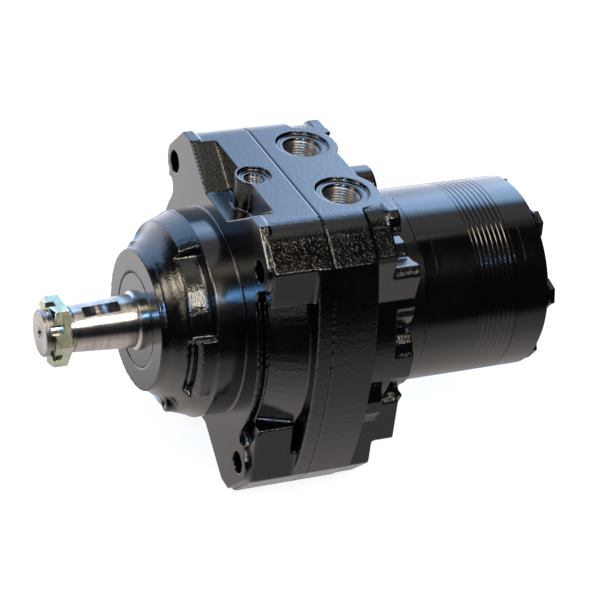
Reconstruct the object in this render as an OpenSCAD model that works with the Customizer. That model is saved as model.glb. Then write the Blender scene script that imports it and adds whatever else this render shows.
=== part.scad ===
// Orbital hydraulic wheel motor with a built-in parking brake.
// X runs along the shaft: the output end points to -X and the mounting face is at x = 0.
// The ports face +Z. All lengths are millimetres.

/* [Mounting] */
// Radius of the locating pilot
pilot_r = 63.5; // [63:0.1:64]
// Length of the pilot in front of the mounting face
pilot_len = 17.9; // [16:0.1:18]
// Diameter of the bolt circle of the four ears
bolt_circle = 190.5; // [190:0.5:192]
// Radius of each tapped mounting hole
mount_hole_r = 6.9; // [6:0.1:7.5]
// Depth of each tapped mounting hole
mount_hole_depth = 24; // [16:1:26]

/* [Shaft] */
// Radius of the taper at its large end
taper_big_r = 16.4; // [16:0.1:16.8]
// Radius of the shaft thread
thread_r = 13.9; // [13:0.1:14]
// Radius of the seal journal
journal_r = 18.1; // [17.8:0.1:18.2]
// Distance from the mounting face to the shaft end
shaft_reach = 106.4; // [105:0.1:110]

/* [Ports] */
// Radius of the main port threads
port_r = 11.1; // [10.5:0.1:11.5]
// Depth of the main port threads
port_depth = 19; // [17:1:20]
// Radius of the main port spot face
port_face_r = 16.4; // [15.5:0.1:17]
// Distance of each main port from the middle
port_y = 29.6; // [29:0.1:30]
// Radius of the brake release port thread
brake_port_r = 5.6; // [5:0.1:6]

/* [Stack] */
// Radius of the rear cylinder
stack_r = 60.8; // [60.5:0.1:61.5]
// Distance from the mounting face to the rear face of the end cover
stack_end = 206.5; // [206:0.1:210]
// Number of manifold plates
plate_count = 8; // [6:1:8]

/* [Hidden] */

$fn = 64;
eps = 0.1;
black = [0.05, 0.05, 0.055];
bright_steel = [0.72, 0.72, 0.70];
dark_steel = [0.42, 0.42, 0.44];
zinc = [0.74, 0.76, 0.62];
rubber = [0.08, 0.08, 0.08];

// Planes across the motor, from the shaft end to the rear
nose_x = -45.7;
thread_end_x = -88;
taper_end_x = -50;
joint_x = 41;
rim_x = 31;
side_end_x = 69.5;
block_end_x = 84;
corner_end_x = 91;
lower_end_x = 98.5;
rim_end_x = 103;
neck_start_x = 105;
rim_r = 81.3;
relief_start_x = 90;
wear_x = 121;
stator_x = 130;
manifold_x = 157.3;
commutator_x = 184;
cover_x = 191.3;

// Castings
top_z = 91.8;
base_z = -94;
ear_top_z = 92.4;
ear_base_z = -93.5;
corner_r = 26;
corner_y = 50.4;
nose_r = 43.4;
pad_front_x = -29;
mount_h = bolt_circle / 2 / sqrt(2);
ear_r = 12;
drum_r = 80;
notch_z = 72.6;
notch_depth = 16.5;
brake_port_x = 22.6;
brake_face_r = 10.3;
brake_face_z = 89.4;
brake_boss_r = 12;
port_x = 67;
port_boss_r = 22;
port_face_z = 89.9;

// Bores of the brake housing
seal_bore_r = 29;
cup_bore_r = 37;
disc_bore_r = 56;
piston_bore_r = 62;
disc_start_x = -1;
chamber_x = 20.5;

// Brake pack
plate_pitch = 1.9;
plate_t = 1.8;
hub_r = 33;
hub_teeth = 18;

// Rotor set
roller_count = 7;
orbit_e = 3.2;
roller_circle_r = 34;
roller_r = 8;
spline_teeth = 12;
link_tip_r = 16;
link_root_r = 14;
bolt_circle_r = 50.3;
bolt_r = 4.8;
bolt_hole_r = 5.3;
screw_circle_r = 76.8;
screw_seat_x = 88.5;
screw_r = 6;
screw_head_r = 9;
gallery = [33, 29];
gallery_r = 4.5;

// --- helpers: everything is built along X ---

// Cylinder along X from x0 to x1, with an optional bore
module tube_x(x0, x1, outer, inner = 0) {
    translate([x0, 0, 0]) rotate([0, 90, 0]) difference() {
        cylinder(h = x1 - x0, r = outer);
        if (inner > 0) translate([0, 0, -eps]) cylinder(h = x1 - x0 + 2 * eps, r = inner);
    }
}

// Cone along X from radius r0 at x0 to radius r1 at x1
module cone_x(x0, x1, r0, r1) {
    translate([x0, 0, 0]) rotate([0, 90, 0]) cylinder(h = x1 - x0, r1 = r0, r2 = r1);
}

// Extrudes an outline drawn in the Y-Z plane from x0 to x1
module slab_x(x0, x1) {
    translate([x0, 0, 0]) rotate([90, 0, 90]) linear_extrude(height = x1 - x0) children();
}

// Turned solid: points are [radius, x]
module turned(points) {
    rotate([0, 90, 0]) rotate_extrude() polygon(points);
}

// Moves its children to a point of a circle round X
module at_angle(angle, radius) {
    translate([0, radius * cos(angle), radius * sin(angle)]) children();
}

// Wedge between two angles in the Y-Z plane, for trimming rings
module wedge(x0, x1, a0, a1, reach = 120) {
    slab_x(x0, x1) polygon(concat([[0, 0]],
        [for (i = [0:6]) let (a = a0 + (a1 - a0) * i / 6) [reach * cos(a), reach * sin(a)]]));
}

module bolt_holes_x(x0, x1, r) {
    for (i = [0:roller_count - 1]) {
        at_angle(-90 + i * 360 / roller_count, bolt_circle_r) tube_x(x0, x1, r);
    }
}

module gallery_holes_x(x0, x1) {
    for (s = [-1, 1]) translate([0, s * gallery[0], gallery[1]]) tube_x(x0, x1, gallery_r);
}

// --- outlines in the Y-Z plane ---

// Fillet between an ear and the drum: its centre touches both circles
fillet_r = 10;
fillet_sum = (pow(drum_r + fillet_r, 2) - pow(ear_r + fillet_r, 2) + 2 * pow(mount_h, 2)) / (2 * mount_h);
fillet_diff = sqrt(2 * pow(drum_r + fillet_r, 2) - pow(fillet_sum, 2));
fillet_y = (fillet_sum + fillet_diff) / 2;
fillet_z = (fillet_sum - fillet_diff) / 2;
ear_tip = mount_h + ear_r * cos(45);

// Sloped recess at the top, or the bottom when flip is -1
module notch_outline(flip) {
    polygon([[-17, flip * notch_z], [17, flip * notch_z], [49, flip * 94], [49, flip * 105],
        [-49, flip * 105], [-49, flip * 94]]);
}

// Mounting face: four ears, a round drum and a sloped notch at the top and the bottom
module face_outline() {
    difference() {
        union() {
            circle(r = drum_r);
            for (sy = [-1, 1], sz = [-1, 1]) {
                ear_z = sz > 0 ? ear_top_z : -ear_base_z;
                translate([sy * mount_h, sz * mount_h]) circle(r = ear_r);
                polygon([
                    [0, 0],
                    [sy * 17, sz * notch_z],
                    [sy * 47, sz * ear_z],
                    [sy * (2 * ear_tip - ear_z), sz * ear_z],
                    [sy * ear_tip, sz * ear_tip],
                    [sy * mount_h, sz * mount_h]
                ]);
                difference() {
                    polygon([[0, 0], [sy * mount_h, sz * mount_h], [sy * fillet_y, sz * fillet_z]]);
                    translate([sy * fillet_y, sz * fillet_z]) circle(r = fillet_r);
                }
            }
        }
        for (sz = [-1, 1]) {
            notch_outline(sz);
        }
    }
}

// Where the rounded top corner meets the sloped shoulder
shoulder_y = corner_y + corner_r * sin(45);
shoulder_z = top_z - corner_r * (1 - cos(45));

// The two rounded corners of the top, moved inwards by inset
module top_corners(inset = 0) {
    for (s = [-1, 1]) translate([s * (corner_y - inset), top_z - corner_r]) circle(r = corner_r);
}

// Upper block behind the mounting face
module upper_outline(side_z) {
    polygon([[-82, side_z], [-82, 73], [-shoulder_y, shoulder_z], [-corner_y, top_z],
        [corner_y, top_z], [shoulder_y, shoulder_z], [82, 73], [82, side_z]]);
    top_corners();
}

// Lower block behind the mounting face
module lower_outline(side_z) {
    polygon([[-82, side_z], [-82, -73], [-61, base_z], [61, base_z], [82, -73], [82, side_z]]);
}

// Section at the joint between the castings: flat top and bottom, bulged sides
bulge_r = 232;
module joint_outline() {
    intersection() {
        union() {
            polygon([[-corner_y, top_z], [corner_y, top_z], [shoulder_y, shoulder_z], [82, 73],
                [100, 55], [100, -55], [61, base_z], [-61, base_z], [-100, -55], [-100, 55],
                [-82, 73], [-shoulder_y, shoulder_z]]);
            top_corners();
        }
        translate([bulge_r - 94, 0]) circle(r = bulge_r, $fn = 128);
        translate([94 - bulge_r, 0]) circle(r = bulge_r, $fn = 128);
    }
}

// Rear step of the port housing: flat sloped sides above, an outward bulge below
module rear_outline() {
    inset = 4;
    for (s = [-1, 1]) {
        polygon([[0, base_z], [s * 60, base_z], [s * 79, -75], [s * 79, -43], [s * 84.5, -34],
            [s * 84.5, -26], [s * 81, -16], [s * 60, -16], [s * 60, 30], [s * 72.1, 36.7],
            [s * 78.3, 68.6], [s * 78, 73], [s * (shoulder_y - inset), shoulder_z],
            [s * (corner_y - inset), top_z], [0, top_z]]);
    }
    top_corners(inset);
}

// Square corner that carries the top back, over the upper screws
module corner_block_outline(s) {
    polygon([[s * 40, 74], [s * 40, top_z], [s * 57.7, top_z], [s * 62.2, 89.1], [s * 63.7, 84],
        [s * 66.2, 81.3], [s * 62.9, 76.7], [s * 50, 72]]);
}

// Block round each upper screw, with the same sloped side as the rear step
module upper_block_outline(s) {
    polygon([[s * 45, 57.7], [s * 59.3, 57.7], [s * 71.8, 60.4], [s * 73.6, 57.8], [s * 75.8, 55.3],
        [s * 72.1, 36.7], [s * 50, 30]]);
}

// Block round each lower screw
module lower_block_outline(s) {
    polygon([[s * 50, -27], [s * 74, -27], [s * 79, -32], [s * 79, -59.5], [s * 45, -59.5]]);
}

// Two cast reliefs in each side of the rim
module relief_outlines(s) {
    polygon([[s * 64.6, 15.5], [s * 73.5, 13.3], [s * 77.5, 8.8], [s * 80, 2.5], [s * 90, 2.5],
        [s * 90, 31.9], [s * 73.5, 31.9], [s * 74.4, 26.1], [s * 71.9, 20.1], [s * 68.5, 16.5]]);
    polygon([[s * 80.7, -12.8], [s * 75.6, -20.9], [s * 68.5, -28], [s * 68.4, -30.4],
        [s * 90, -30.4], [s * 90, -12.8]]);
}

// --- castings ---

// Recess with sloped sides cut in the front of the block, at the top or the bottom
module notch(flip) {
    slab_x(-eps, notch_depth) notch_outline(flip);
}

module nose_shape() {
    turned([[0, nose_x], [nose_r, nose_x], [nose_r + 0.8, nose_x + 4.2], [46.4, -39.5],
        [49, -35.6], [53.2, -31.8], [58.6, pad_front_x], [pilot_r - 1.1, -pilot_len - 0.6],
        [pilot_r - 1.1, -pilot_len], [pilot_r - 0.8, -pilot_len], [pilot_r, -pilot_len + 0.8],
        [pilot_r, 2], [0, 2]]);
}

// Cast relief between two pads of the nose
module nose_pocket(a0, a1) {
    intersection() {
        turned([[51, -34.3], [54, -31], [54.5, -pilot_len - 0.05], [70, -pilot_len - 0.05],
            [70, -34.3]]);
        wedge(-40, 0, a0, a1);
    }
}

// Short groove in the cone of the nose
module nose_groove(a0, a1) {
    intersection() {
        turned([[50.5, -31.9], [50.5, -28.4], [64, -28.4], [64, -31.9]]);
        wedge(-40, -20, a0, a1);
    }
}

// Raised pad that carries the full radius forward over one sector
module nose_pad(a0, a1) {
    intersection() {
        tube_x(-27.5, -pilot_len, pilot_r - 1.1, 50);
        wedge(-30, 0, a0, a1);
    }
}

module nose_lug(angle, offset, front_x, r) {
    at_angle(angle, offset) difference() {
        tube_x(front_x, -26, r);
        tube_x(front_x - eps, front_x + 2, r * 0.42);
    }
}

module brake_housing() {
    color(black) difference() {
        union() {
            difference() {
                union() {
                    nose_shape();
                    slab_x(0, 7) face_outline();
                    cone_x(7, rim_x + 1, 76.5, 86.5);
                    slab_x(3, joint_x) upper_outline(50);
                    slab_x(3, 28) lower_outline(-36);
                    slab_x(28, joint_x) lower_outline(-55);
                    slab_x(rim_x, joint_x) joint_outline();
                }
                notch(1);
                notch(-1);
            }
            translate([brake_port_x, 0, 60]) cylinder(h = top_z - 60, r = brake_boss_r);
            nose_lug(50, 44, -41.6, 4.2);
            nose_lug(233, 52, -36.5, 6);
            nose_pad(160, 200);
            nose_pad(340, 380);
        }
        // Undercut in the rim of the flange, between the ears
        difference() {
            tube_x(2.6, 5.6, 90, 75.5);
            wedge(0, 8, 38, 142);
            wedge(0, 8, 218, 322);
        }
        nose_pocket(108, 163);
        nose_pocket(288, 343);
        nose_groove(165, 204);
        nose_groove(345, 384);
        tube_x(nose_x - eps, -31, seal_bore_r);
        tube_x(-32, -29 + eps, 24);
        tube_x(-29, disc_start_x - 2, cup_bore_r);
        tube_x(disc_start_x - 2 - eps, disc_start_x + eps, 45);
        tube_x(disc_start_x, chamber_x + eps, disc_bore_r);
        tube_x(chamber_x, joint_x + eps, piston_bore_r);
        for (angle = [45:90:315]) {
            at_angle(angle, disc_bore_r) tube_x(disc_start_x, chamber_x + eps, 3.4);
        }
        for (sy = [-1, 1], sz = [-1, 1]) {
            translate([0, sy * mount_h, sz * mount_h]) tube_x(-eps, mount_hole_depth, mount_hole_r);
        }
        translate([brake_port_x, 0, brake_face_z]) cylinder(h = 8, r = brake_face_r);
        translate([brake_port_x, 0, brake_face_z - 1]) cylinder(h = 1 + eps, r1 = brake_port_r, r2 = 6.5);
        translate([brake_port_x, 0, brake_face_z - 12.5]) cylinder(h = 20, r = brake_port_r);
        translate([brake_port_x, 0, piston_bore_r - 3]) cylinder(h = 30, r = 2);
        screw_tap_holes();
        // Groove for the ring that seals the joint
        tube_x(joint_x - 1.6, joint_x + eps, 67.2, 64.6);
    }
}

screw_angles = [36.8, 143.2, 216.8, 323.2];
module screw_tap_holes() {
    for (angle = screw_angles) {
        at_angle(angle, screw_circle_r) tube_x(26, joint_x + eps, screw_r);
    }
    for (sz = [-1, 1]) translate([0, 0, sz * 74]) tube_x(28, joint_x + eps, screw_r);
}

// Part of the round rim at one side, behind the bulged sides
module side_rim(s) {
    difference() {
        intersection() {
            tube_x(side_end_x - 1, rim_end_x, rim_r);
            slab_x(side_end_x - 1, rim_end_x) polygon([[s * 30, -45], [s * 30, 63.5], [s * 90, 63.5],
                [s * 90, -45]]);
        }
        slab_x(relief_start_x, rim_end_x + eps) relief_outlines(s);
    }
}

module port_housing() {
    color(black) difference() {
        union() {
            slab_x(joint_x, side_end_x) joint_outline();
            slab_x(side_end_x - 1, block_end_x) rear_outline();
            for (s = [-1, 1]) {
                translate([port_x, s * port_y, 40]) cylinder(h = top_z - 40, r = port_boss_r);
                slab_x(block_end_x - 1, corner_end_x) corner_block_outline(s);
                slab_x(block_end_x - 1, rim_end_x) upper_block_outline(s);
                slab_x(block_end_x - 1, lower_end_x) lower_block_outline(s);
                side_rim(s);
            }
            tube_x(side_end_x, 97, 68);
            cone_x(97, neck_start_x, 68, 62.5);
            tube_x(side_end_x, wear_x, stack_r);
            for (sz = [-1, 1]) {
                translate([0, 0, sz * 74]) tube_x(side_end_x, 100, 14);
            }
        }
        for (s = [-1, 1]) {
            translate([port_x, s * port_y, port_face_z]) cylinder(h = 10, r = port_face_r);
            translate([port_x, s * port_y, port_face_z - 1.4])
                cylinder(h = 1.4 + eps, r1 = port_r, r2 = port_r + 1);
            translate([port_x, s * port_y, port_face_z - port_depth])
                cylinder(h = port_depth + eps, r = port_r);
            translate([port_x, s * port_y, 26]) cylinder(h = 60, r = 5);
        }
        gallery_holes_x(port_x, wear_x + eps);
        bolt_holes_x(96, wear_x + eps, bolt_r);
        tube_x(joint_x - eps, 60, 36);
        tube_x(60 - eps, wear_x + eps, 29);
        // Screw holes and counterbores from behind
        for (angle = screw_angles) {
            at_angle(angle, screw_circle_r) tube_x(joint_x - eps, rim_end_x, screw_r + 0.4);
            at_angle(angle, screw_circle_r) tube_x(screw_seat_x, rim_end_x + eps, screw_head_r + 0.4);
        }
        for (sz = [-1, 1]) translate([0, 0, sz * 74]) {
            tube_x(joint_x - eps, 100, screw_r + 0.4);
            tube_x(90, 100 + eps, screw_head_r + 0.6);
        }
        // Groove for the ring that seals the wear plate
        tube_x(wear_x - 1.6, wear_x + eps, 58.6, 56.4);
    }
}

// --- shaft and nut ---

// Straight-sided teeth standing on a hub, as one outline
module tooth_outline(count, root, tip, width) {
    circle(r = root);
    for (i = [0:count - 1]) {
        rotate(i * 360 / count) translate([0, -width / 2]) square([tip, width]);
    }
}

// Woodruff keyway: angle round the shaft, middle, width, and the cutter's radius and height
keyway_angle = 107;
key_x = -70.7;
key_w = 7.9;
key_cutter_r = 12.8;
key_centre_r = 20.5;
module output_shaft() {
    small_r = taper_big_r - (taper_end_x - thread_end_x) / 16;
    color(bright_steel) difference() {
        union() {
            turned([[0, -shaft_reach], [thread_r - 1.4, -shaft_reach], [thread_r, 1.4 - shaft_reach],
                [thread_r, thread_end_x - 3], [thread_r - 1, thread_end_x - 2.4],
                [thread_r - 1, thread_end_x], [small_r, thread_end_x], [taper_big_r, taper_end_x],
                [taper_big_r, -49.6], [journal_r, -48.2], [journal_r, -29.5], [20, -29.5], [20, -4.5],
                [27, -4.5], [27, 60], [0, 60]]);
            slab_x(disc_start_x, 16) tooth_outline(hub_teeth, hub_r - 2.2, hub_r, 5.4);
        }
        translate([-shaft_reach - eps, 0, 0]) rotate([0, 90, 0]) cylinder(h = 5, r1 = 3.6, r2 = 0.8);
        rotate([keyway_angle - 90, 0, 0]) translate([key_x, 0, key_centre_r]) rotate([90, 0, 0])
            cylinder(h = key_w, r = key_cutter_r, center = true);
        // Splined socket for the drive link
        slab_x(30, 46) tooth_outline(spline_teeth, link_root_r + 0.9, link_tip_r + 1, 4.4);
        tube_x(22, 30.1, 15);
        tube_x(46 - eps, 60 + eps, 19);
    }
}

nut_r = 21.4;
nut_angle = 55.5;
nut_front_x = -102.6;
nut_back_x = -92.3;
module slotted_nut() {
    color(zinc) difference() {
        slab_x(nut_front_x, nut_back_x) rotate(nut_angle) circle(r = nut_r, $fn = 6);
        tube_x(nut_front_x - eps, nut_back_x + eps, thread_r + 0.05);
        for (i = [0:2]) {
            rotate([nut_angle + 30 + i * 60, 0, 0])
                translate([nut_front_x - eps, -30, -3]) cube([5, 60, 6]);
        }
    }
}

// --- seals and bearings at the shaft ---

module dust_seal() {
    color(black) turned([[journal_r + 0.15, nose_x + 0.15], [seal_bore_r - 0.6, nose_x + 0.15],
        [seal_bore_r, nose_x + 0.75], [seal_bore_r, -40], [journal_r + 1.6, -40],
        [journal_r + 1.6, -42.5], [journal_r + 0.15, -43.4]]);
}

module backup_washer() {
    color(dark_steel) tube_x(-40, -38.5, seal_bore_r, 19.4);
}

module shaft_seal() {
    color(rubber) turned([[journal_r + 0.05, -36.6], [journal_r + 1.8, -38.5], [seal_bore_r, -38.5],
        [seal_bore_r, -31], [26, -31], [26, -36], [journal_r + 2.4, -36], [journal_r + 1.5, -32.5],
        [journal_r + 0.05, -34.4]]);
}

module front_bearing_cup() {
    color(bright_steel) turned([[33.5, -27], [cup_bore_r, -27], [cup_bore_r, -6], [31.6, -6]]);
}

module front_bearing_cone() {
    color(bright_steel) turned([[20, -28.6], [26.4, -28.6], [26.4, -26.2], [25.4, -26], [23.6, -7.4],
        [24.8, -7.2], [24.8, -4.6], [20, -4.6]]);
}

module front_bearing_rollers() {
    tilt = 5.2;
    color(bright_steel) for (i = [0:17]) {
        rotate([i * 20, 0, 0]) translate([-16.6, 0, 28.5]) rotate([0, 90 + tilt, 0])
            cylinder(h = 17, r1 = 3.7, r2 = 3.5, center = true, $fn = 24);
    }
}

module rear_bearing_race() {
    color(bright_steel) tube_x(42.5, 58.5, 36, 32.2);
}

module rear_bearing_rollers() {
    color(bright_steel) for (i = [0:27]) {
        rotate([i * 360 / 28, 0, 0]) translate([43.5, 0, 29.6]) rotate([0, 90, 0])
            cylinder(h = 14, r = 2.4, $fn = 24);
    }
}

// --- brake ---

module friction_discs() {
    color([0.30, 0.27, 0.22]) for (i = [0:3]) {
        slab_x(disc_start_x + (2 * i + 1) * plate_pitch, disc_start_x + (2 * i + 1) * plate_pitch + plate_t)
            difference() {
                circle(r = 53.5);
                tooth_outline(hub_teeth, hub_r - 1.4, hub_r + 0.7, 6.4);
            }
    }
}

module brake_plates() {
    color(dark_steel) for (i = [0:4]) {
        slab_x(disc_start_x + 2 * i * plate_pitch + 0.02, disc_start_x + 2 * i * plate_pitch + plate_t)
            difference() {
                union() {
                    circle(r = disc_bore_r - 0.3);
                    for (angle = [45:90:315]) {
                        rotate(angle) translate([disc_bore_r, 0]) circle(r = 2.9);
                    }
                }
                circle(r = 36);
            }
    }
}

piston_x = 16.3;
module brake_piston() {
    color(bright_steel) turned([[36.5, piston_x], [disc_bore_r - 0.05, piston_x],
        [disc_bore_r - 0.05, 17.4], [disc_bore_r - 2.4, 17.4], [disc_bore_r - 2.4, 19.8],
        [disc_bore_r - 0.05, 19.8], [disc_bore_r - 0.05, 22.6], [piston_bore_r - 0.05, 22.6],
        [piston_bore_r - 0.05, 24.6], [piston_bore_r - 2.4, 24.6], [piston_bore_r - 2.4, 27],
        [piston_bore_r - 0.05, 27], [piston_bore_r - 0.05, 29.5], [36.5, 29.5]]);
}

module piston_seals() {
    color(rubber) {
        tube_x(17.6, 19.6, disc_bore_r - 0.05, disc_bore_r - 2.3);
        tube_x(24.8, 26.8, piston_bore_r - 0.05, piston_bore_r - 2.3);
    }
}

// Two disc springs, back to back, between the piston and the port housing
module brake_springs() {
    color(dark_steel) {
        turned([[40, 29.9], [40, 32.7], [60, 35], [60, 32.2]]);
        turned([[60, 35.4], [60, 38.2], [40, 40.9], [40, 38.1]]);
    }
}

module joint_seal() {
    color(rubber) tube_x(joint_x - 1.6, joint_x, 67, 64.8);
}

module cap_screw(x_seat, x_tip) {
    difference() {
        union() {
            tube_x(x_tip, x_seat + eps, screw_r - 0.05);
            tube_x(x_seat, x_seat + 12, screw_head_r);
        }
        slab_x(x_seat + 5, x_seat + 12 + eps) circle(r = 5.8, $fn = 6);
    }
}

module housing_screws() {
    color(black) {
        for (angle = screw_angles) {
            at_angle(angle, screw_circle_r) cap_screw(screw_seat_x, 28);
        }
        for (sz = [-1, 1]) translate([0, 0, sz * 74]) cap_screw(90, 30);
    }
}

// --- drive link and rotor set ---

link_front_x = 38;
link_rear_x = 143;
link_tilt = atan(orbit_e / (link_rear_x - link_front_x));
module drive_link() {
    color(dark_steel) translate([link_front_x, 0, 0]) rotate([0, 0, link_tilt])
        translate([-link_front_x, 0, 0]) {
        slab_x(31, 45) tooth_outline(spline_teeth, link_root_r, link_tip_r, 3.2);
        turned([[0, 45 - eps], [link_root_r, 45 - eps], [10.5, 52], [10.5, 127], [link_root_r, 134 + eps],
            [0, 134 + eps]]);
        slab_x(134, 153) tooth_outline(spline_teeth, link_root_r, link_tip_r, 3.2);
        turned([[0, 153 - eps], [9, 153 - eps], [9, 158], [0, 158]]);
    }
}

// Point of the curve that a roller's centre follows round the rotor
function centre_path(t) = [
    roller_circle_r * cos(t) - orbit_e * cos(roller_count * t),
    roller_circle_r * sin(t) - orbit_e * sin(roller_count * t)
];
function path_tangent(t) = [
    -roller_circle_r * sin(t) + orbit_e * roller_count * sin(roller_count * t),
    roller_circle_r * cos(t) - orbit_e * roller_count * cos(roller_count * t)
];
// The rotor's flank lies one roller radius, and a running gap, inside that curve
function rotor_point(t, gap) =
    let (p = centre_path(t), d = path_tangent(t), n = norm(d), off = roller_r + gap)
    [p[0] - off * d[1] / n, p[1] + off * d[0] / n];

rotor_steps = 240;
module rotor() {
    color(bright_steel) translate([0, orbit_e, 0]) difference() {
        slab_x(stator_x + 0.1, manifold_x - 0.1)
            polygon([for (i = [0:rotor_steps - 1]) rotor_point(i * 360 / rotor_steps, 0.12)]);
        slab_x(stator_x, manifold_x) tooth_outline(spline_teeth, link_root_r + 0.9, link_tip_r + 1, 4.4);
    }
}

module roller(index) {
    color(bright_steel) at_angle(index * 360 / roller_count, roller_circle_r)
        tube_x(stator_x + 0.1, manifold_x - 0.1, roller_r);
}

// --- stack ---

module wear_plate() {
    color(black) difference() {
        tube_x(wear_x, stator_x, stack_r, 20);
        bolt_holes_x(wear_x - eps, stator_x + eps, bolt_hole_r);
        gallery_holes_x(wear_x - eps, stator_x + eps);
        tube_x(stator_x - 1.6, stator_x + eps, 58.6, 56.4);
    }
}

module stator_ring() {
    color(black) difference() {
        tube_x(stator_x, manifold_x, stack_r, roller_circle_r + 1.5);
        for (i = [0:roller_count - 1]) {
            at_angle(i * 360 / roller_count, roller_circle_r)
                tube_x(stator_x - eps, manifold_x + eps, roller_r + 0.06);
        }
        bolt_holes_x(stator_x - eps, manifold_x + eps, bolt_hole_r);
        tube_x(manifold_x - 1.6, manifold_x + eps, 58.6, 56.4);
    }
}

// Brazed stack: each plate has chamfered edges, so that the joints show as fine grooves
module manifold_plates() {
    t = (commutator_x - manifold_x) / plate_count;
    bevel = 0.45;
    color(black) for (i = [0:plate_count - 1]) {
        x0 = manifold_x + i * t;
        difference() {
            turned([[17, x0], [stack_r - bevel, x0], [stack_r, x0 + bevel], [stack_r, x0 + t - bevel],
                [stack_r - bevel, x0 + t], [17, x0 + t]]);
            bolt_holes_x(x0 - eps, x0 + t + eps, bolt_hole_r);
            for (k = [0:roller_count - 1]) {
                at_angle(-90 + (k + 0.5) * 360 / roller_count, 31) tube_x(x0 - eps, x0 + t + eps, 3.6);
            }
        }
    }
}

module commutator_ring() {
    color(black) difference() {
        tube_x(commutator_x, cover_x, stack_r, 40.5);
        bolt_holes_x(commutator_x - eps, cover_x + eps, bolt_hole_r);
    }
}

module commutator() {
    color(bright_steel) translate([0, orbit_e, 0]) tube_x(commutator_x + 0.1, cover_x - 0.1, 36.8, 12);
}

module commutator_seal() {
    color(rubber) tube_x(cover_x, cover_x + 1.5, 30, 27);
}

cover_edge = 1.6;
head_r = 9.2;
module end_cover() {
    color(black) difference() {
        union() {
            turned([[0, cover_x], [stack_r, cover_x], [stack_r, stack_end - cover_edge],
                [stack_r - cover_edge, stack_end], [0, stack_end]]);
        }
        tube_x(cover_x - eps, cover_x + 1.5, 30, 27);
        tube_x(cover_x - eps, cover_x + 5, 14);
        tube_x(cover_x - eps, cover_x + 1.6, 58.6, 56.4);
        bolt_holes_x(cover_x - eps, stack_end + eps, bolt_hole_r);
        tube_x(stack_end - 3, stack_end + eps, 38.5, 14);
    }
}

module stack_seals() {
    color(rubber) {
        tube_x(wear_x - 1.6, wear_x, 58.4, 56.6);
        tube_x(stator_x - 1.6, stator_x, 58.4, 56.6);
        tube_x(manifold_x - 1.6, manifold_x, 58.4, 56.6);
        tube_x(cover_x, cover_x + 1.6, 58.4, 56.6);
    }
}

module stack_bolts() {
    color(black) for (i = [0:roller_count - 1]) {
        at_angle(-90 + i * 360 / roller_count, bolt_circle_r) {
            tube_x(98, stack_end + eps, bolt_r - 0.05);
            tube_x(stack_end, stack_end + 1.3, head_r + 0.9);
            slab_x(stack_end + 1.2, stack_end + 5.4) rotate(i * 51) circle(r = head_r, $fn = 6);
        }
    }
}

brake_housing();
port_housing();
output_shaft();
slotted_nut();
dust_seal();
backup_washer();
shaft_seal();
front_bearing_cup();
front_bearing_cone();
front_bearing_rollers();
rear_bearing_race();
rear_bearing_rollers();
friction_discs();
brake_plates();
brake_piston();
piston_seals();
brake_springs();
joint_seal();
housing_screws();
drive_link();
wear_plate();
stator_ring();
rotor();
roller(0);  // roller_1
roller(1);  // roller_2
roller(2);  // roller_3
roller(3);  // roller_4
roller(4);  // roller_5
roller(5);  // roller_6
roller(6);  // roller_7
manifold_plates();
commutator_ring();
commutator();
commutator_seal();
end_cover();
stack_seals();
stack_bolts();
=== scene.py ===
"""Looks of the wheel motor: castings with soft fillets, threads, materials, studio and camera."""
import math

import bpy
import numpy as np
from mathutils import Matrix, Vector
from mathutils.bvhtree import BVHTree


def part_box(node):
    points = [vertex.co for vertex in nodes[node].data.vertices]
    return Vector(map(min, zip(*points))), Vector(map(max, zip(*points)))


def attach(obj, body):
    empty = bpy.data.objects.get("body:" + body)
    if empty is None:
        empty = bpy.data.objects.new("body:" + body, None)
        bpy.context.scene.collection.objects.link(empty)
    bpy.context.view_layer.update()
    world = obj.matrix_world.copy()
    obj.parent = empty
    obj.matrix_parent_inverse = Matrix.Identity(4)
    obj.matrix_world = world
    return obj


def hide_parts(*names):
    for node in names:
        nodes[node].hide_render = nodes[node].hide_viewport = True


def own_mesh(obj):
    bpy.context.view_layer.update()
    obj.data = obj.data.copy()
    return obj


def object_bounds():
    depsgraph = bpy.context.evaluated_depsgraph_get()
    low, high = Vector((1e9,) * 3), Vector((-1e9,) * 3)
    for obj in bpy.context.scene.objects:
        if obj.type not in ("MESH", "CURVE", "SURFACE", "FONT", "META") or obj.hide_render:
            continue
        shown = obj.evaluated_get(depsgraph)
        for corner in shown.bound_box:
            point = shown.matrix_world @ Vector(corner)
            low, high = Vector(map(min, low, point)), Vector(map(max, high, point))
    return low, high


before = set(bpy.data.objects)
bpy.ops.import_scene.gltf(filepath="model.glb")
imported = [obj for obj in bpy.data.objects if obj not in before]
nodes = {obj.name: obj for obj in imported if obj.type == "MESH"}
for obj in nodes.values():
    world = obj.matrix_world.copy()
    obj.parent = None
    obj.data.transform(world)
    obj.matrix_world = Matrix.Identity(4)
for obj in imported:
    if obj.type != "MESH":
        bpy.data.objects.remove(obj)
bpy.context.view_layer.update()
scene = bpy.context.scene
MM = 0.001
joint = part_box("brake_housing")[1].x / MM


# ---------------------------------------------------------------- camera

SENSOR_MM = 36


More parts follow.
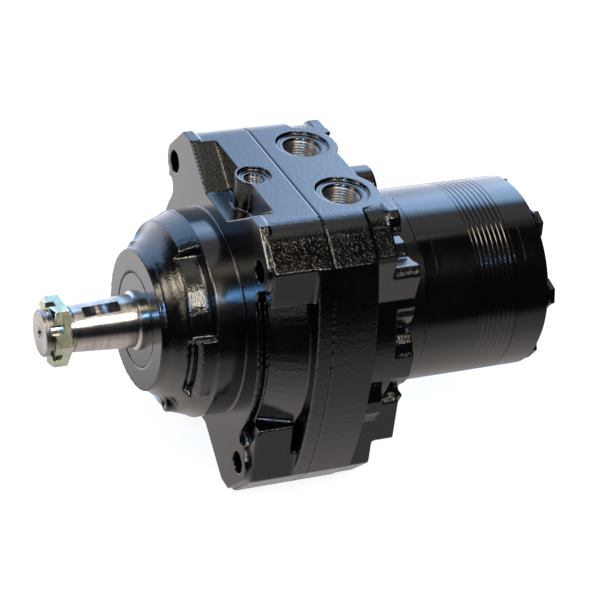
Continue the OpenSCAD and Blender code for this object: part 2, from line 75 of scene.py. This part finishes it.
def add_camera(azimuth, elevation, roll, distance, target, lens):
    """Camera that looks at target from azimuth and elevation, rolled about its axis. In degrees."""
    a, e, r = (math.radians(v) for v in (azimuth, elevation, roll))
    back = Vector((math.sin(a) * math.cos(e), -math.cos(a) * math.cos(e), math.sin(e)))
    right = Vector((0, 0, 1)).cross(back).normalized()
    up = back.cross(right)
    side = right * math.cos(r) + up * math.sin(r)
    top = up * math.cos(r) - right * math.sin(r)
    data = bpy.data.cameras.new("camera")
    data.lens = lens
    data.sensor_width = SENSOR_MM
    data.clip_start, data.clip_end = 0.05, 60
    camera = bpy.data.objects.new("camera", data)
    scene.collection.objects.link(camera)
    place = Vector(target) + back * distance
    camera.matrix_world = Matrix((
        (side.x, top.x, back.x, place.x),
        (side.y, top.y, back.y, place.y),
        (side.z, top.z, back.z, place.z),
        (0, 0, 0, 1)))
    scene.camera = camera


add_camera(azimuth=-27.62, elevation=31.32, roll=7.29, distance=1.4876,
           target=(0.0565, -0.0136, 0.0072), lens=145.3)
scene.view_settings.view_transform = "Standard"
scene.view_settings.look = "None"


# ---------------------------------------------------------------- node trees

class Tree:
    """Short calls for building a node tree."""

    def __init__(self, tree):
        self.tree = tree
        tree.nodes.clear()

    def new(self, kind, inputs=None, **attributes):
        node = self.tree.nodes.new(kind)
        for key, value in attributes.items():
            setattr(node, key, value)
        for key, value in (inputs or {}).items():
            self.put(node.inputs[key], value)
        return node

    def put(self, socket, value):
        if isinstance(value, bpy.types.NodeSocket):
            self.tree.links.new(value, socket)
        else:
            socket.default_value = value

    def math(self, operation, a, b=0.0):
        node = self.new("ShaderNodeMath", operation=operation)
        self.put(node.inputs[0], a)
        self.put(node.inputs[1], b)
        return node.outputs[0]

    def vector(self, operation, a, b=(0, 0, 0)):
        node = self.new("ShaderNodeVectorMath", operation=operation)
        self.put(node.inputs[0], a)
        self.put(node.inputs[1], b)
        return node.outputs["Value" if operation in ("DOT_PRODUCT", "LENGTH") else "Vector"]

    def scale(self, vector, factor):
        node = self.new("ShaderNodeVectorMath", operation="SCALE")
        self.put(node.inputs[0], vector)
        self.put(node.inputs["Scale"], factor)
        return node.outputs["Vector"]

    def noise(self, vector, scale, detail=2.0, rough=0.5):
        inputs = {"Vector": vector, "Scale": scale, "Detail": detail, "Roughness": rough}
        return self.new("ShaderNodeTexNoise", inputs).outputs["Fac"]

    def ramp(self, value, low, high, a=0.0, b=1.0):
        """Smooth step from a at low to b at high."""
        inputs = {"Value": value, "From Min": low, "From Max": high, "To Min": a, "To Max": b}
        node = self.new("ShaderNodeMapRange", inputs, interpolation_type="SMOOTHSTEP")
        return node.outputs["Result"]

    def mix(self, factor, a, b):
        """Mix of two colours, which are inputs 6 and 7 and output 2 of a Mix node."""
        node = self.new("ShaderNodeMix", data_type="RGBA")
        for socket, value in ((0, factor), (6, a), (7, b)):
            self.put(node.inputs[socket], value)
        return node.outputs[2]

    def soft_edges(self, radius):
        return self.new("ShaderNodeBevel", {"Radius": radius}, samples=6).outputs["Normal"]

    def bump(self, height, distance, strength=1.0, normal=None):
        inputs = {"Height": height, "Distance": distance, "Strength": strength}
        node = self.new("ShaderNodeBump", inputs)
        if normal is not None:
            self.put(node.inputs["Normal"], normal)
        return node.outputs["Normal"]


def opaque(color, gain=1.0, lift=0.0):
    """Colour with its alpha, made gain times brighter and lifted."""
    return tuple(c * gain + lift for c in color) + (1,)


def shader_tree(name):
    """New material: itself, its tree, its shader and the place on the object as a vector."""
    material = bpy.data.materials.new(name)
    material.use_nodes = True
    tree = Tree(material.node_tree)
    out = tree.new("ShaderNodeOutputMaterial")
    bsdf = tree.new("ShaderNodeBsdfPrincipled")
    tree.put(out.inputs["Surface"], bsdf.outputs["BSDF"])
    place = tree.new("ShaderNodeTexCoord").outputs["Object"]
    return material, tree, bsdf, place


BLACK = (0.0007, 0.0007, 0.0009)
PEBBLE_HEIGHT = 0.00012
PEEL_HEIGHT = 0.000010
MACHINED_GLOSS = 0.17


def paint(name, cast=None, gloss=0.1, rings=0.0):
    """Gloss black enamel. cast is how rough the metal below is: None reads it from the mesh."""
    material, t, bsdf, place = shader_tree(name)
    if cast is None:
        amount = t.new("ShaderNodeAttribute", attribute_name="cast").outputs["Fac"]
    else:
        amount = t.new("ShaderNodeValue").outputs[0]
        amount.default_value = cast
    grain = t.noise(place, 1050, 1.0, 0.5)
    pits = t.noise(place, 480, 1.0, 0.4)
    swell = t.noise(place, 110, 1.0, 0.4)
    peel = t.noise(place, 620, 1.0, 0.3)
    height = t.math("ADD", grain, t.math("MULTIPLY", pits, 0.5))
    height = t.math("ADD", height, t.math("MULTIPLY", swell, 0.3))
    edges = None if cast is None else t.soft_edges(0.0002)
    normal = t.bump(height, PEBBLE_HEIGHT, amount, edges)
    skin = t.math("MULTIPLY", peel, PEEL_HEIGHT)
    if rings:
        turned = t.noise(t.vector("MULTIPLY", place, (1900, 25, 25)), 1.0, 2.0, 0.6)
        skin = t.math("ADD", skin, t.math("MULTIPLY", turned, rings))
    normal = t.bump(skin, 1.0, 1.0, normal)
    dust = t.noise(place, 45, 4.0, 0.6)
    color = t.mix(t.ramp(dust, 0.35, 0.8), opaque(BLACK), opaque(BLACK, 2.0, 0.0006))
    t.put(bsdf.inputs["Base Color"], color)
    shine = gloss
    if cast is None:
        shine = t.ramp(amount, 0.0, 0.6, MACHINED_GLOSS, gloss + 0.02)
    t.put(bsdf.inputs["Roughness"], t.math("ADD", shine, t.ramp(dust, 0.3, 0.8, 0.0, 0.04)))
    t.put(bsdf.inputs["Normal"], normal)
    bsdf.inputs["IOR"].default_value = 1.65
    if cast is None:
        # Painted shade: the reflection is turned down along the open joint on top of the two
        # housings, so the joint stays dark
        where = t.new("ShaderNodeSeparateXYZ", {"Vector": place}).outputs
        off = t.math("ABSOLUTE", t.math("SUBTRACT", where["X"], joint * MM))
        near = t.ramp(off, 0.00025, 0.00055, 1.0, 0.0)
        painted_joint_shade = t.math("MULTIPLY", near, t.ramp(where["Z"], 0.089, 0.0905))
        t.put(bsdf.inputs["Specular IOR Level"], t.ramp(painted_joint_shade, 0.0, 1.0, 0.5, 0.02))
    return material


ROUGHNESS_SPREAD = 0.05
TOOL_MARK_HEIGHT = 0.000012


def steel(name, color, roughness, turned=1.0, grain=0.0, tint=None):
    """Bare metal. turned adds fine rings round the shaft's axis, grain a dull etched texture."""
    material, t, bsdf, place = shader_tree(name)
    rings = t.noise(t.vector("MULTIPLY", place, (2600, 60, 60)), 1.0, 3.0, 0.6)
    broad = t.noise(t.vector("MULTIPLY", place, (380, 40, 40)), 1.0, 2.0, 0.5)
    cloud = t.noise(place, 90, 3.0, 0.55)
    etch = t.noise(place, 1500, 2.0, 0.6)
    other = opaque(tint) if tint else opaque(color, 0.72)
    stain = t.math("ADD", t.math("MULTIPLY", cloud, 0.6), t.math("MULTIPLY", broad, 0.4))
    t.put(bsdf.inputs["Base Color"], t.mix(t.ramp(stain, 0.35, 0.68), opaque(color), other))
    scuff = t.ramp(rings, 0.3, 0.7, roughness - ROUGHNESS_SPREAD, roughness + ROUGHNESS_SPREAD)
    t.put(bsdf.inputs["Roughness"], t.math("ADD", scuff, t.math("MULTIPLY", cloud, 0.04)))
    height = t.math("ADD", t.math("MULTIPLY", rings, turned), t.math("MULTIPLY", etch, grain))
    t.put(bsdf.inputs["Normal"], t.bump(height, TOOL_MARK_HEIGHT, 1.0, t.soft_edges(0.0003)))
    bsdf.inputs["Metallic"].default_value = 1.0
    return material


def dull(name, color, roughness=0.6, scale=900):
    """Rubber and friction lining."""
    material, t, bsdf, place = shader_tree(name)
    cloud = t.noise(place, scale, 3.0, 0.6)
    t.put(bsdf.inputs["Base Color"], t.mix(cloud, opaque(color), opaque(color, 1.7)))
    t.put(bsdf.inputs["Roughness"], t.ramp(cloud, 0.2, 0.8, roughness - 0.1, roughness + 0.1))
    t.put(bsdf.inputs["Normal"], t.bump(cloud, 0.00004, 1.0))
    return material


M = {
    "casting": paint("cast_paint"),
    "machined": paint("stack_paint", cast=0.02, rings=0.000003),
    "cover": paint("cover_paint", cast=0.12),
    "screw": paint("screw_paint", cast=0.06),
    "seal": paint("seal_paint", cast=0.03, gloss=0.14),
    "shaft": steel("shaft_steel", (0.45, 0.425, 0.405), 0.2),
    "thread": steel("thread_steel", (0.30, 0.285, 0.275), 0.3, turned=0.6, grain=0.5),
    "zinc": steel("nut_zinc", (0.50, 0.50, 0.39), 0.16, turned=0.3, grain=1.0,
                  tint=(0.30, 0.34, 0.26)),
    "bearing": steel("bearing_steel", (0.62, 0.62, 0.62), 0.2, turned=0.6),
    "plate": steel("plate_steel", (0.36, 0.36, 0.37), 0.38, turned=0.2, grain=1.0),
    "hard": steel("hard_steel", (0.42, 0.41, 0.39), 0.28, turned=0.6, grain=0.3),
    "spring": steel("spring_steel", (0.16, 0.16, 0.17), 0.42, turned=0.3, grain=1.0),
    "rubber": dull("seal_rubber", (0.012, 0.012, 0.012)),
    "lining": dull("friction_lining", (0.075, 0.055, 0.04), 0.75, 1400),
}
LOOKS = {
    "casting": ["brake_housing", "port_housing"],
    "machined": ["wear_plate", "stator_ring", "manifold_plates", "commutator_ring"],
    "cover": ["end_cover"],
    "screw": ["housing_screws", "stack_bolts"],
    "seal": ["dust_seal"],
    "shaft": ["output_shaft"],
    "zinc": ["slotted_nut"],
    "bearing": ["front_bearing_cup", "front_bearing_cone", "front_bearing_rollers",
                "rear_bearing_race", "rear_bearing_rollers",
                *("roller_%d" % i for i in range(1, 8))],
    "plate": ["backup_washer", "brake_plates"],
    "hard": ["brake_piston", "drive_link", "rotor", "commutator"],
    "spring": ["brake_springs"],
    "rubber": ["shaft_seal", "piston_seals", "joint_seal", "commutator_seal", "stack_seals"],
    "lining": ["friction_discs"],
}
for look, names in LOOKS.items():
    for name in names:
        mesh = nodes[name].data
        mesh.materials.clear()
        mesh.materials.append(M[look])


# ---------------------------------------------------------------- castings

def add_object(name, mesh):
    piece = bpy.data.objects.new(name, mesh)
    scene.collection.objects.link(piece)
    return piece


def mesh_from(name, points, faces):
    mesh = bpy.data.meshes.new(name)
    mesh.from_pydata(points, [], faces)
    mesh.update()
    return mesh


def remesh(node, voxel):
    """Copy of a CAD node as an even mesh of small quads."""
    piece = add_object("work", nodes[node].data.copy())
    modifier = piece.modifiers.new("remesh", "REMESH")
    modifier.mode = "VOXEL"
    modifier.voxel_size = voxel
    bpy.context.view_layer.update()
    graph = bpy.context.evaluated_depsgraph_get()
    mesh = bpy.data.meshes.new_from_object(piece.evaluated_get(graph))
    bpy.data.objects.remove(piece)
    return mesh


def step(value, low, high):
    """Smooth step from 0 at low to 1 at high."""
    t = np.clip((value - low) / (high - low), 0, 1)
    return t * t * (3 - 2 * t)


RELAX_RATE = 0.55


def relax(co, edges, weight, rounds):
    """Draws each point towards the middle of its neighbours, which rounds a casting's edges."""
    a, b = edges[:, 0], edges[:, 1]
    count = np.maximum(np.bincount(a, minlength=len(co)) + np.bincount(b, minlength=len(co)), 1)
    pull = (RELAX_RATE * weight)[:, None]
    for _ in range(rounds):
        middle = np.stack([np.bincount(a, co[b, k], len(co)) + np.bincount(b, co[a, k], len(co))
                           for k in range(3)], 1) / count[:, None]
        co += pull * (middle - co)
    return co


# Lengths and coordinates of the castings are in mm
SETTLE_NEAR, SETTLE_FAR = 0.14, 0.34
ROUNDS = 6
FLOWING_ROUNDS = 12
SNAP = 0.35
SEAM_HALF_WIDTH = 0.2
SEAM_DEPTH = 0.7
TOP_CAST = 0.6


def settle(co, node):
    """Puts points close to a face of the CAD node back on it, and leaves round edges alone."""
    mesh = nodes[node].data
    tree = BVHTree.FromPolygons([v.co.copy() for v in mesh.vertices],
                                [tuple(p.vertices) for p in mesh.polygons])
    target = np.array([tree.find_nearest(Vector(p))[0] for p in co * MM]) / MM
    away = np.linalg.norm(target - co, axis=1)
    share = 1 - step(away, SETTLE_NEAR, SETTLE_FAR)
    return co + share[:, None] * (target - co)


def smeared(share, edges, rounds):
    """Share from 0 to 1 of each point, spread over its neighbours."""
    return relax(np.repeat(share[:, None], 3, 1), edges, np.ones(len(share)), rounds)[:, 0]


def cut_seam(co, mesh):
    """Pulls the rim along the joint of the two housings inwards, so that the joint is a groove."""
    normal = np.empty(len(co) * 3)
    mesh.vertices.foreach_get("normal", normal)
    normal = normal.reshape(-1, 3)
    slant = np.hypot(normal[:, 1], normal[:, 2])
    outside = (slant > 0.3) & (np.hypot(co[:, 1], co[:, 2]) > 60)
    seam = outside & (np.abs(co[:, 0] - joint) < SEAM_HALF_WIDTH)
    co[seam, 1:] -= SEAM_DEPTH * normal[seam, 1:] / slant[seam, None]


def casting(name, node, voxel, machined, snap, flowing=None):
    """Cast piece in place of a CAD node. machined(x, y, z, r) is 1 where a surface stays sharp,
    snap puts turned and milled faces on their exact size, and flowing(x) is 1 where faces run
    into each other."""
    mesh = remesh(node, voxel * MM)
    count = len(mesh.vertices)
    co = np.empty(count * 3)
    mesh.vertices.foreach_get("co", co)
    co = co.reshape(-1, 3) / MM
    edges = np.empty(len(mesh.edges) * 2, np.int64)
    mesh.edges.foreach_get("vertices", edges)
    edges = edges.reshape(-1, 2)
    x, y, z = co.T
    sharp = np.clip(machined(x, y, z, np.hypot(y, z)), 0, 1)
    weight = smeared(1 - sharp, edges, 2) * (sharp < 0.5)
    co = relax(co, edges, weight, ROUNDS)
    soft = flowing(co[:, 0]) if flowing else np.zeros(count)
    co = relax(co, edges, weight * soft, FLOWING_ROUNDS)
    co = relax(co, edges, np.full(count, 0.5), 1)
    co += (1 - soft)[:, None] * (settle(co, node) - co)
    co = snap(co)
    mesh.vertices.foreach_set("co", (co * MM).ravel())
    mesh.update()
    cut_seam(co, mesh)
    mesh.vertices.foreach_set("co", (co * MM).ravel())
    rough = np.maximum(smeared(1 - sharp, edges, 3), TOP_CAST * (np.abs(co[:, 2] - TOP) < 0.2))
    layer = mesh.attributes.new("cast", "FLOAT", "POINT")
    layer.data.foreach_set("value", rough.astype(np.float32))
    mesh.update()
    mesh.shade_smooth()
    mesh.materials.clear()
    mesh.materials.append(M["casting"])
    mesh.name = name
    piece = add_object(name, mesh)
    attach(piece, "housing")
    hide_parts(node)


NOSE_FACE = -45.7
PILOT_R = 63.5
NECK_R = 60.8
TOP = 91.8
EAR = 67.35
PORTS = [(67.0, -29.6), (67.0, 29.6)]
BRAKE_PORT = (22.6, 0.0)
SCREWS = [(sy * 61.5, sz * 46.0) for sy in (-1, 1) for sz in (-1, 1)] + [(0, 74), (0, -74)]


def either(masks):
    return np.any(masks, axis=0).astype(float)


def brake_machined(x, y, z, r):
    masks = [
        (x < -44.3) & (r < 45.2),  # front disc
        (r > 62.9) & (r < 64.2) & (x > -18.6) & (x < 0.4),  # pilot
        (np.abs(x) < 0.7) & (r > 62),  # mounting face
        (np.abs(z - TOP) < 0.7) & (np.abs(y) < 48) & (x > -1),  # top
        x > joint - 0.9,  # joint face
        (np.hypot(x - BRAKE_PORT[0], y - BRAKE_PORT[1]) < 10.8) & (z > 70),
        (r < 40) & (x > -45),  # seats of seal and bearings
        (r < 55.9) & (x > -3.4) & (x < 21),  # brake bore
        (r < 62.6) & (x > 19)]  # piston bore
    ears = [(sy * EAR, sz * EAR) for sy in (-1, 1) for sz in (-1, 1)]
    masks += [(np.hypot(y - ey, z - ez) < 7.9) & (x < 27) for ey, ez in ears]  # mounting holes
    return either(masks)


def nose_flow(x):
    """The nose between the pilot and its front disc, where the cast faces run into each other."""
    return step(-x, 30, 32) * (x > -45.3)


def brake_snap(co):
    x, y, z = co.T
    r = np.hypot(y, z)
    co[(np.abs(x - NOSE_FACE) < SNAP) & (r < 43.4), 0] = NOSE_FACE
    co[(np.abs(x) < SNAP) & (r > 63.8), 0] = 0
    co[(np.abs(x - joint) < SNAP), 0] = joint
    co[(np.abs(z - TOP) < SNAP) & (np.abs(y) < 49) & (x > 0), 2] = TOP
    pilot = (np.abs(r - PILOT_R) < 0.4) & (x > -17.2) & (x < -0.3)
    co[pilot, 1:] *= (PILOT_R / r[pilot])[:, None]
    return co


def port_machined(x, y, z, r):
    masks = [
        x < joint + 0.9,  # joint face
        (np.abs(z - TOP) < 0.7) & (np.abs(y) < 46.5),  # top
        (r < 61.6) & (x > 99),  # neck
        x > 119,  # face of the stack
        (r < 37) & (x > 35)]  # bearing seat
    masks += [(np.hypot(x - px, y - py) < 17) & (z > 24) for px, py in PORTS]
    masks += [(np.hypot(y - sy, z - sz) < 10.2) & (x > 80) for sy, sz in SCREWS]
    return either(masks)


def port_snap(co):
    x, y, z = co.T
    r = np.hypot(y, z)
    co[(np.abs(x - joint) < SNAP), 0] = joint
    co[(np.abs(z - TOP) < SNAP) & (np.abs(y) < 46), 2] = TOP
    neck = (np.abs(r - NECK_R) < 0.4) & (x > 107)
    co[neck, 1:] *= (NECK_R / r[neck])[:, None]
    return co


VOXEL = 0.75
casting("brake_casting", "brake_housing", VOXEL, brake_machined, brake_snap, nose_flow)
casting("port_casting", "port_housing", VOXEL, port_machined, port_snap)


# ---------------------------------------------------------------- nut

def lathe(name, profile, around=96):
    """Closed mesh turned about X from (x, r) pairs, all r above zero."""
    angles = [2 * math.pi * i / around for i in range(around)]
    points = [(x * MM, r * MM * math.cos(angle), r * MM * math.sin(angle))
              for x, r in profile for angle in angles]
    faces = []
    for j in range(len(profile) - 1):
        for i in range(around):
            k = (i + 1) % around
            here, ahead = j * around, (j + 1) * around
            faces.append((here + i, here + k, ahead + k, ahead + i))
    faces.append(tuple(range(around))[::-1])
    faces.append(tuple(range((len(profile) - 1) * around, len(profile) * around)))
    return mesh_from(name, points, faces)


CHAMFER_ANGLE = 35
CLEAR = 0.3


def chamfered_nut():
    """The nut with its corners turned off at the front end."""
    low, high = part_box("slotted_nut")
    front, back = low.x / MM, high.x / MM
    corner = max(math.hypot(v.co.y, v.co.z) for v in nodes["slotted_nut"].data.vertices) / MM
    flat = corner * math.cos(math.pi / 6)
    outer = corner + CLEAR
    rise = (outer - flat) * math.tan(math.radians(CHAMFER_ANGLE))
    blank = [(front - 0.1, flat), (front, flat), (front + rise, outer), (back + 0.1, outer)]
    cutter = add_object("nut_blank", lathe("nut_blank", blank))
    piece = add_object("nut_body", nodes["slotted_nut"].data.copy())
    modifier = piece.modifiers.new("chamfer", "BOOLEAN")
    modifier.operation = "INTERSECT"
    modifier.object = cutter
    modifier.solver = "EXACT"
    bpy.context.view_layer.update()
    graph = bpy.context.evaluated_depsgraph_get()
    mesh = bpy.data.meshes.new_from_object(piece.evaluated_get(graph))
    piece.modifiers.clear()
    piece.data = mesh
    bpy.data.objects.remove(cutter)
    mesh.materials.clear()
    mesh.materials.append(M["zinc"])
    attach(piece, "shaft")
    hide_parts("slotted_nut")


chamfered_nut()


# ---------------------------------------------------------------- brake springs

def pressed_springs():
    """Copy of the disc springs that rides on the housing in place of the CAD node."""
    piece = add_object("springs_under_load", nodes["brake_springs"].data.copy())
    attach(piece, "housing")
    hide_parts("brake_springs")
    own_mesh(piece)


pressed_springs()


# ---------------------------------------------------------------- threads

# Height of a thread's flank at eight places along one pitch: root, flank, crest, flank
THREAD_PROFILE = [0.0, 0.0, 0.35, 0.75, 1.0, 1.0, 0.65, 0.25]
THREAD_AROUND = 96


def thread(name, body, place, radius, depth, pitch, length, back, inner=True):
    """Helical thread round +Z of place, in mm. Its crests stand depth proud of radius, inwards or
    outwards, and a plain wall that lies back behind radius closes the mesh."""
    per_turn = len(THREAD_PROFILE)
    sign = -1 if inner else 1
    rows = int(length / pitch * per_turn) + 1
    points, faces = [], []
    for i in range(THREAD_AROUND):
        turn = i / THREAD_AROUND
        cos, sin = math.cos(2 * math.pi * turn), math.sin(2 * math.pi * turn)
        for j in range(rows + 1):
            z = length * j / rows
            phase = (z / pitch - turn) % 1.0 * per_turn
            low = int(phase) % per_turn
            part = phase - int(phase)
            high = THREAD_PROFILE[low] * (1 - part) + THREAD_PROFILE[(low + 1) % per_turn] * part
            fade = min(1.0, z / (0.7 * pitch), (length - z) / (0.7 * pitch))
            r = radius + sign * depth * high * max(fade, 0.0)
            points.append((r * cos, r * sin, z))
        r = radius - sign * back
        points += [(r * cos, r * sin, z) for z in (length, 0.0)]
    ring = rows + 3
    for i in range(THREAD_AROUND):
        a, b = i * ring, (i + 1) % THREAD_AROUND * ring
        for j in range(ring):
            k = (j + 1) % ring
            quad = (a + j, b + j, b + k, a + k)
            faces.append(quad[::-1] if inner else quad)
    mesh = mesh_from(name, [tuple((place @ Vector(p)) * MM) for p in points], faces)
    piece = add_object(name, mesh)
    mesh.materials.append(M["thread"])
    mesh.shade_smooth()
    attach(piece, body)


for (port_x, port_y), letter in zip(PORTS, "ab"):
    thread("port_thread_" + letter, "housing", Matrix.Translation((port_x, port_y, 71.4)),
           radius=11.12, depth=0.95, pitch=1.814, length=17.0, back=1.2)
thread("brake_port_thread", "housing", Matrix.Translation((*BRAKE_PORT, 77.3)),
       radius=5.62, depth=0.7, pitch=1.27, length=11.0, back=1.2)
SHAFT_END = Matrix.Translation((-106.1, 0, 0)) @ Matrix.Rotation(math.pi / 2, 4, "Y")
thread("shaft_thread", "shaft", SHAFT_END, radius=13.85, depth=0.5, pitch=1.6, length=3.4,
       back=1.5, inner=False)


# ---------------------------------------------------------------- studio

def frame_of(azimuth, elevation):
    """Axis towards a direction in degrees, azimuth from +X to +Y, and the two axes across it."""
    a, e = math.radians(azimuth), math.radians(elevation)
    axis = Vector((math.cos(a) * math.cos(e), math.sin(a) * math.cos(e), math.sin(e)))
    level = Vector((-math.sin(a), math.cos(a), 0))
    return axis, level, axis.cross(level)


def panel(t, way, azimuth, elevation, half_wide, half_tall, soft, low, high=None):
    """Rectangular light far away that fades out over soft, all in degrees. low and high are the
    colours of its lower and upper end."""
    axis, level, rise = frame_of(azimuth, elevation)
    ahead = t.vector("DOT_PRODUCT", way, tuple(axis))
    safe = t.math("MAXIMUM", ahead, 0.02)

    def across(direction):
        return t.math("DIVIDE", t.vector("DOT_PRODUCT", way, tuple(direction)), safe)

    def inside(place, half):
        edge = math.tan(math.radians(half))
        end = math.tan(math.radians(min(half + soft, 86)))
        return t.ramp(t.math("ABSOLUTE", place), edge, end, 1.0, 0.0)

    height = across(rise)
    amount = t.math("MULTIPLY", t.ramp(ahead, 0.03, 0.12), inside(across(level), half_wide))
    amount = t.math("MULTIPLY", amount, inside(height, half_tall))
    color = low
    if high:
        edge = math.tan(math.radians(half_tall))
        color = t.mix(t.ramp(height, -edge, edge), opaque(low), opaque(high))
    return t.scale(color, amount)


# Azimuth, elevation, half width, half height, softness of the edge, colour, colour of the upper end
PANELS = [
    # Large soft window behind on the far side, pale below and blue above
    (88, 20, 36, 36, 8, (1.75, 1.8, 2.05), (0.95, 1.75, 2.9)),
    (52, 24, 6, 20, 6, (1.4, 1.7, 2.4), (1.5, 2.1, 3.1)),
    # Pale card low behind
    (112, -21, 13, 11, 1.5, (1.15, 1.15, 1.2)),
    # Warm lamps in front
    (-72, 50, 5, 10, 1.5, (19.0, 17.4, 14.6)),
    (-131, 69, 8, 5, 4, (8.0, 7.2, 5.9)),
    (-169, 40, 7, 8, 5, (2.2, 1.9, 1.5)),
    (178, 33, 5, 7, 4, (10.0, 8.6, 6.9)),
    (-172, 13, 2, 3, 3, (6.0, 5.3, 4.5)),
    (-113, 40, 9, 17, 4, (0.6, 0.54, 0.5)),
    # Small strong blue lamp in front and a blue glow low behind
    (-119.5, 41.5, 1.8, 2.2, 2, (26.0, 70.0, 140.0)),
    (62, -32, 12, 5, 6, (0.25, 0.8, 1.9)),
    # Ceiling
    (-45, 79, 14, 9, 6, (0.98, 0.92, 0.82)),
    (44, 61, 14, 6, 10, (0.5, 0.48, 0.5)),
    (160, 57, 8, 3, 4, (0.9, 1.0, 1.1)),
]
TABLE_COLOR = (1.0, 0.93, 0.885)
DIM_ROOM = (0.012, 0.012, 0.013)
WHITE = (1, 1, 1, 1)


def build_world():
    """Soft studio as a function of direction. The camera itself sees plain white."""
    world = bpy.data.worlds.new("studio")
    scene.world = world
    world.use_nodes = True
    t = Tree(world.node_tree)
    out = t.new("ShaderNodeOutputWorld")
    way = t.vector("NORMALIZE", t.new("ShaderNodeTexCoord").outputs["Generated"])
    x, y, z = t.new("ShaderNodeSeparateXYZ", {"Vector": way}).outputs
    # Grey table below, brighter towards the shaft's end and dim behind
    down = t.math("ADD", t.ramp(z, -0.24, -0.50, 0.0, 0.62), t.ramp(z, -0.50, -0.92, 0.0, 0.6))
    side = t.math("ADD", t.math("MULTIPLY", x, -0.55), t.math("MULTIPLY", y, -0.12))
    table = t.math("MULTIPLY", down, t.math("ADD", side, 0.84))
    total = t.scale(TABLE_COLOR, t.math("MAXIMUM", table, 0.0))
    for settings in PANELS:
        total = t.vector("ADD", total, panel(t, way, *settings))
    total = t.vector("ADD", total, DIM_ROOM)
    light = t.new("ShaderNodeBackground", {"Color": total, "Strength": 1.0})
    plain = t.new("ShaderNodeBackground", {"Color": WHITE, "Strength": 1.0})
    seen = t.new("ShaderNodeLightPath").outputs["Is Camera Ray"]
    mix = t.new("ShaderNodeMixShader")
    for i, socket in enumerate((seen, light.outputs[0], plain.outputs[0])):
        t.put(mix.inputs[i], socket)
    t.put(out.inputs["Surface"], mix.outputs[0])


FLOOR_GAP = 0.0006
FLOOR_HALF = 12.0


def build_floor():
    """Pale card just under the motor. Reflections see the world's table in its place."""
    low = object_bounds()[0]
    z = low[2] - FLOOR_GAP
    signs = ((-1, -1), (1, -1), (1, 1), (-1, 1))
    corners = [(sx * FLOOR_HALF, sy * FLOOR_HALF, z) for sx, sy in signs]
    mesh = mesh_from("floor", corners, [(0, 1, 2, 3)])
    floor = add_object("floor", mesh)
    material, t, bsdf, place = shader_tree("floor_card")
    cloud = t.noise(place, 6, 2.0, 0.5)
    color = t.mix(cloud, (0.20, 0.19, 0.175, 1), (0.24, 0.23, 0.21, 1))
    t.put(bsdf.inputs["Base Color"], color)
    bsdf.inputs["Roughness"].default_value = 0.9
    bsdf.inputs["Emission Color"].default_value = WHITE
    bsdf.inputs["Emission Strength"].default_value = 0.88
    mesh.materials.append(material)
    floor.visible_glossy = False


build_world()
build_floor()
